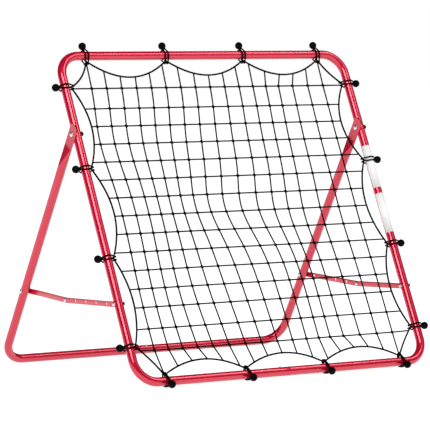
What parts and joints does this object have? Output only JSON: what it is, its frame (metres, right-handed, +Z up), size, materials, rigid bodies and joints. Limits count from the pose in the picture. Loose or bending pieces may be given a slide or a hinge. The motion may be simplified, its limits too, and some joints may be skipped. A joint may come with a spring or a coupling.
{
  "type": "soccer rebounder",
  "caption": "Leaning square tube frame with a net tied in it by elastic ball ties, held up by a folding rear stand with hinged braces.",
  "frame": {"origin": "on the ground, under the middle of the object's box", "axes": "+X to the right as seen from the front, the net faces -Y, +Z up"},
  "size_m": [1.058, 0.7734, 0.9332],
  "materials": {
    "red_powder_coat": "smooth gloss powder coat",
    "zinc_plate": "bright zinc plate",
    "black_steel": "black oxide",
    "black_plastic": "moulded, satin",
    "black_elastic": "braided cover",
    "black_twine": "twisted polyethylene twine"
  },
  "bodies": {
    "net_frame": {"main_frame_left": "red_powder_coat", "main_frame_right": "red_powder_coat", "net": "black_twine", "pivot_bolt_left": "zinc_plate", "pivot_bolt_right": "zinc_plate", "pivot_nut_left": "black_steel", "pivot_nut_right": "black_steel", "frame_brace_bolt_left": "zinc_plate", "frame_brace_bolt_right": "zinc_plate", "frame_brace_nut_left": "black_steel", "frame_brace_nut_right": "black_steel", "tie_ball_top_1": "black_plastic", "tie_ball_top_2": "black_plastic", "tie_ball_top_3": "black_plastic", "tie_ball_top_4": "black_plastic", "tie_ball_bottom_1": "black_plastic", "tie_ball_bottom_2": "black_plastic", "tie_ball_bottom_3": "black_plastic", "tie_ball_bottom_4": "black_plastic", "tie_ball_left_1": "black_plastic", "tie_ball_left_2": "black_plastic", "tie_ball_left_3": "black_plastic", "tie_ball_left_4": "black_plastic", "tie_ball_right_1": "black_plastic", "tie_ball_right_2": "black_plastic", "tie_ball_right_3": "black_plastic", "tie_ball_right_4": "black_plastic", "tie_cord_top_1": "black_elastic", "tie_cord_top_2": "black_elastic", "tie_cord_top_3": "black_elastic", "tie_cord_top_4": "black_elastic", "tie_cord_bottom_1": "black_elastic", "tie_cord_bottom_2": "black_elastic", "tie_cord_bottom_3": "black_elastic", "tie_cord_bottom_4": "black_elastic", "tie_cord_left_1": "black_elastic", "tie_cord_left_2": "black_elastic", "tie_cord_left_3": "black_elastic", "tie_cord_left_4": "black_elastic", "tie_cord_right_1": "black_elastic", "tie_cord_right_2": "black_elastic", "tie_cord_right_3": "black_elastic", "tie_cord_right_4": "black_elastic"},
    "stand": {"stand_left": "red_powder_coat", "stand_right": "red_powder_coat", "leg_brace_bolt_left": "zinc_plate", "leg_brace_bolt_right": "zinc_plate", "leg_brace_nut_left": "black_steel", "leg_brace_nut_right": "black_steel"},
    "frame_bar_left": {"brace_bar_holed_left": "red_powder_coat", "brace_mid_bolt_left": "zinc_plate"},
    "leg_bar_left": {"brace_bar_plain_left": "red_powder_coat", "brace_mid_nut_left": "black_steel"},
    "frame_bar_right": {"brace_bar_plain_right": "red_powder_coat", "brace_mid_bolt_right": "zinc_plate"},
    "leg_bar_right": {"brace_bar_holed_right": "red_powder_coat", "brace_mid_nut_right": "black_steel"},
    "button_bottom": {"snap_button_bottom": "zinc_plate"},
    "button_top": {"snap_button_top": "zinc_plate"},
    "button_rear": {"snap_button_rear": "zinc_plate"}
  },
  "joints": [
    {"name": "stand_fold", "type": "hinge", "parent": "net_frame", "child": "stand", "pos_m": [0, -0.0266, 0.67943], "axis": [1, 0, 0], "range_deg": [-33, 0]},
    {"name": "frame_bar_left_fold", "type": "hinge", "parent": "net_frame", "child": "frame_bar_left", "pos_m": [-0.50175, -0.24603, 0.22349], "axis": [1, 0, 0], "range_deg": [-71.6, 0]},
    {"name": "leg_bar_left_fold", "type": "hinge", "parent": "stand", "child": "leg_bar_left", "pos_m": [-0.48785, 0.24792, 0.22256], "axis": [1, 0, 0], "range_deg": [0, 86.7]},
    {"name": "frame_bar_right_fold", "type": "hinge", "parent": "net_frame", "child": "frame_bar_right", "pos_m": [0.47325, -0.24603, 0.22349], "axis": [1, 0, 0], "range_deg": [-95.3, 0]},
    {"name": "leg_bar_right_fold", "type": "hinge", "parent": "stand", "child": "leg_bar_right", "pos_m": [0.48715, 0.24792, 0.22256], "axis": [1, 0, 0], "range_deg": [0, 63]},
    {"name": "button_bottom_press", "type": "slide", "parent": "net_frame", "child": "button_bottom", "axis": [0, -0.4337, -0.9011], "range_m": [0, 0.003], "stiffness_N_per_m": 400},
    {"name": "button_top_press", "type": "slide", "parent": "net_frame", "child": "button_top", "axis": [0, -0.9011, 0.4337], "range_m": [0, 0.003], "stiffness_N_per_m": 400},
    {"name": "button_rear_press", "type": "slide", "parent": "stand", "child": "button_rear", "axis": [0, 0.515, -0.8572], "range_m": [0, 0.003], "stiffness_N_per_m": 400}
  ],
  "couplings": [
    {"joint": "frame_bar_left_fold", "follows": "stand_fold", "ratio": 2.1685},
    {"joint": "leg_bar_left_fold", "follows": "stand_fold", "ratio": -2.6259},
    {"joint": "frame_bar_right_fold", "follows": "stand_fold", "ratio": 2.8866},
    {"joint": "leg_bar_right_fold", "follows": "stand_fold", "ratio": -1.9077}
  ]
}
